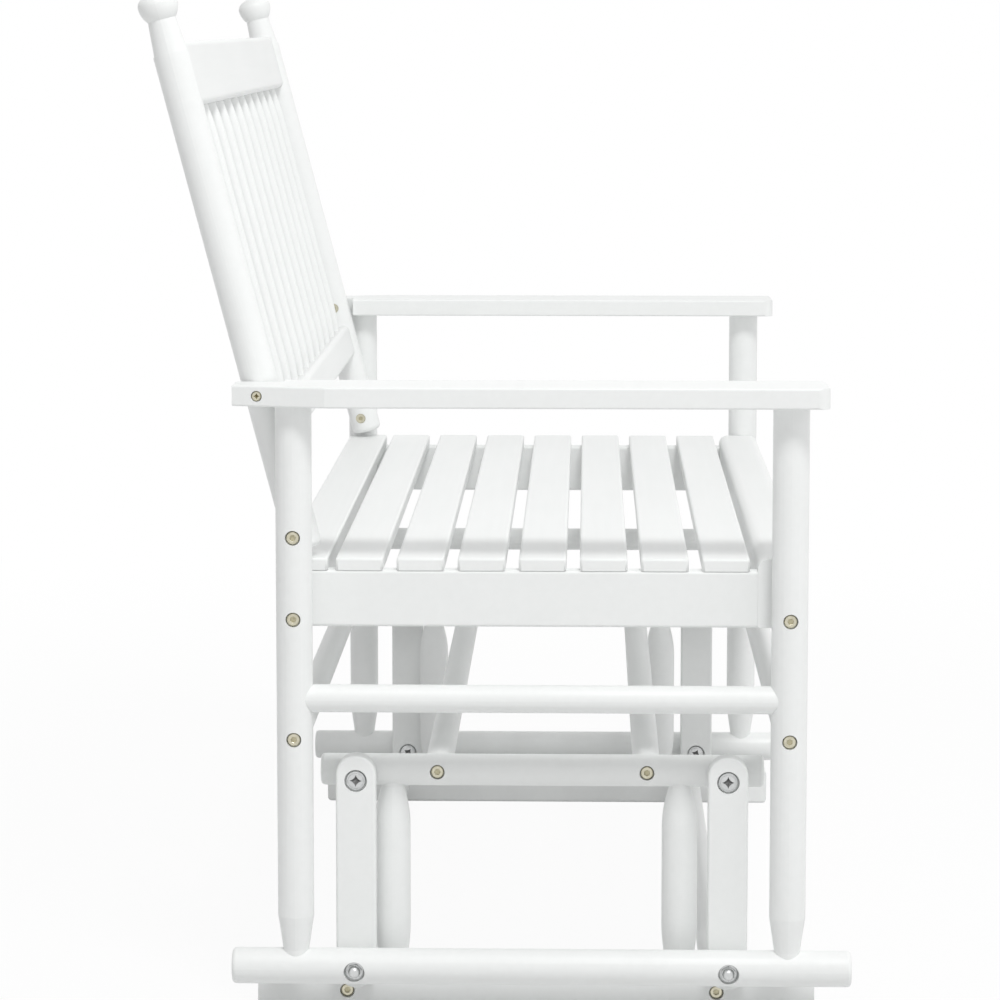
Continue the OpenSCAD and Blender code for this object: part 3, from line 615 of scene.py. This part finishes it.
def make_floor():
    """Pale floor that keeps a faint shadow near the bench and fades to white."""
    mesh = bpy.data.meshes.new("floor")
    corners = [(-1, -1), (1, -1), (1, 1), (-1, 1)]
    places = [(x * FLOOR_HALF, y * FLOOR_HALF, -FLOOR_DROP) for x, y in corners]
    mesh.from_pydata(places, [], [(0, 1, 2, 3)])
    floor = bpy.data.objects.new("floor", mesh)
    bpy.context.scene.collection.objects.link(floor)
    material, tree = new_material("floor_pale")
    lit = add(tree, "ShaderNodeBsdfDiffuse", {"Color": FLOOR_COLOUR, "Roughness": FLOOR_ROUGH})
    plain = add(tree, "ShaderNodeEmission", {"Color": WHITE, "Strength": 1.0})
    coords = add(tree, "ShaderNodeTexCoord").outputs["Object"]
    away = add(tree, "ShaderNodeVectorMath", {0: coords}, operation="LENGTH").outputs["Value"]
    white = add(tree, "ShaderNodeMapRange", {
        "Value": away, "From Min": FADE_FROM, "From Max": FADE_TO,
        "To Min": FLOOR_NEAR, "To Max": 1.0}, interpolation_type="SMOOTHSTEP").outputs["Result"]
    seen = {0: seen_plainly(tree), 1: white}
    share = add(tree, "ShaderNodeMath", seen, operation="MULTIPLY").outputs[0]
    finish_material(tree, add(tree, "ShaderNodeMixShader", {
        0: share, 1: lit.outputs[0], 2: plain.outputs[0]}))
    mesh.materials.append(material)


# Light

# Strength of the even light, and how much more of it comes from the front and less from the rear
AMBIENT = 0.65
FRONT_SHARE = 0.42
# Sizes and places are in metres, and the power is in watts
LAMP_PLACE = (-2.92, -0.83, 4.72)
LAMP_AIM = (0, 0, 0.5)
LAMP_SIZE = 1.1
LAMP_POWER = 106


def make_world():
    """White to the camera and in reflections, and an even light that is stronger from the front."""
    world = bpy.data.worlds.new("studio")
    bpy.context.scene.world = world
    world.use_nodes = True
    tree = world.node_tree
    tree.nodes.clear()
    direction = add(tree, "ShaderNodeTexCoord").outputs["Generated"]
    rearward = add(tree, "ShaderNodeSeparateXYZ", {"Vector": direction}).outputs["Y"]
    front = AMBIENT * (1 + FRONT_SHARE)
    rear = AMBIENT * (1 - FRONT_SHARE)
    strength = remap(tree, rearward, front, rear, (-1.0, 1.0))
    light = add(tree, "ShaderNodeBackground", {"Color": WHITE, "Strength": strength})
    white = add(tree, "ShaderNodeBackground", {"Color": WHITE, "Strength": 1.0})
    both = add(tree, "ShaderNodeMixShader", {
        0: seen_plainly(tree), 1: light.outputs[0], 2: white.outputs[0]})
    out = tree.nodes.new("ShaderNodeOutputWorld")
    tree.links.new(both.outputs[0], out.inputs["Surface"])


def make_lamp():
    """One soft square lamp, high on the sitter's right."""
    data = bpy.data.lights.new("high", "AREA")
    data.size = LAMP_SIZE
    data.energy = LAMP_POWER
    lamp = bpy.data.objects.new("high", data)
    lamp.location = LAMP_PLACE
    lamp.rotation_euler = (Vector(LAMP_AIM) - Vector(LAMP_PLACE)).to_track_quat("-Z", "Y").to_euler()
    bpy.context.scene.collection.objects.link(lamp)


# The scene

make_camera()
bpy.context.scene.view_settings.view_transform = "Standard"

metals = {name: worn_metal(name, *look) for name, look in METALS.items()}
paint_nodes({
    "brass_bolt": metals["brass_plated"],
    "zinc_bolt": metals["zinc_plated"],
    "nylon_washer": nylon_plastic(),
})
for name, (form_of, facing, finish_names, turn_step) in FASTENERS.items():
    make_fasteners(name, form_of, facing, [metals[finish] for finish in finish_names], turn_step)
for name in sorted(frame["nodes"]):
    if name.startswith("seat_slat"):
        make_slat(name)
make_floor()
make_world()
make_lamp()
